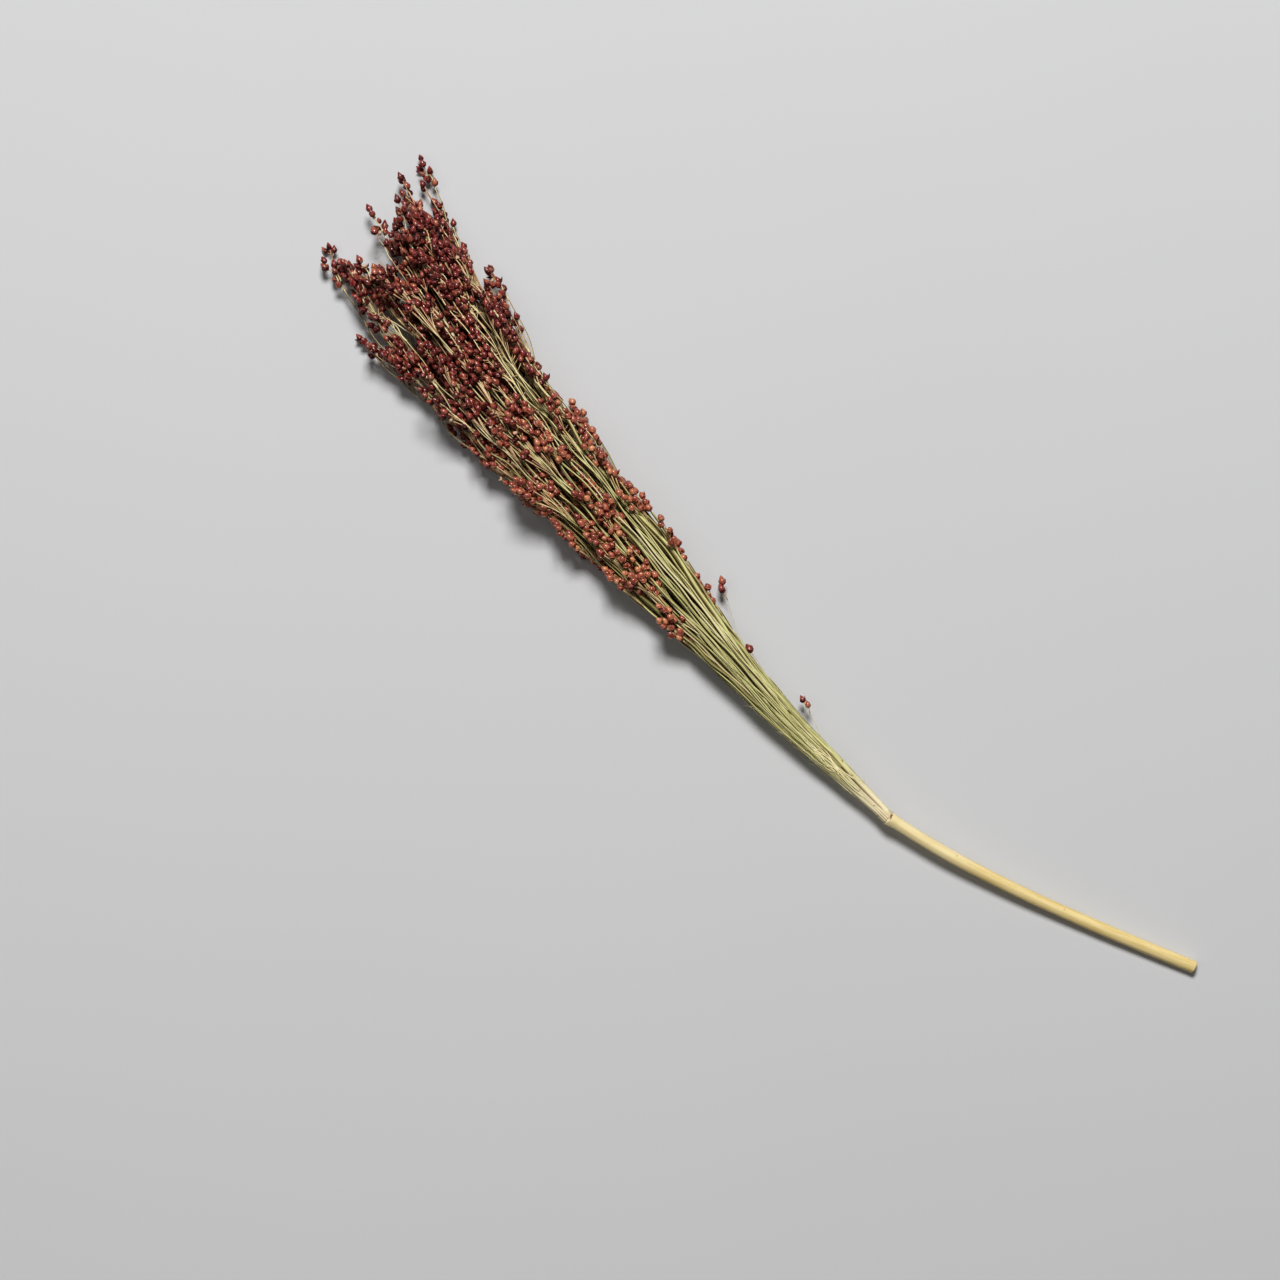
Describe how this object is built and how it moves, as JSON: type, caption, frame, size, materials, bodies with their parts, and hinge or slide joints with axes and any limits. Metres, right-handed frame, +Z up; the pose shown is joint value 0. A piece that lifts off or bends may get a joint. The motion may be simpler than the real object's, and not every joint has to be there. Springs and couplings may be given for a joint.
{
  "type": "sorghum seed head",
  "caption": "Dried sorghum seed head on its bare cut stalk, lying on its side: thin green straws fan out from the node and carry strings of dark red seeds.",
  "frame": {"origin": "bottom centre of the box round the laid head and stalk, on the surface it lies on", "axes": "+X from the cut end of the stalk to the tip of the head, +Y to the outer side of its gentle bow, +Z up from the surface"},
  "size_m": [0.5846, 0.0972, 0.0378],
  "materials": {
    "stalk": "smooth dry straw-yellow stalk, satin",
    "seed_head": "dry green-yellow straws with satin red-brown to maroon seeds"
  },
  "bodies": {
    "root": {"stalk": "stalk", "head": "seed_head"}
  },
  "joints": []
}
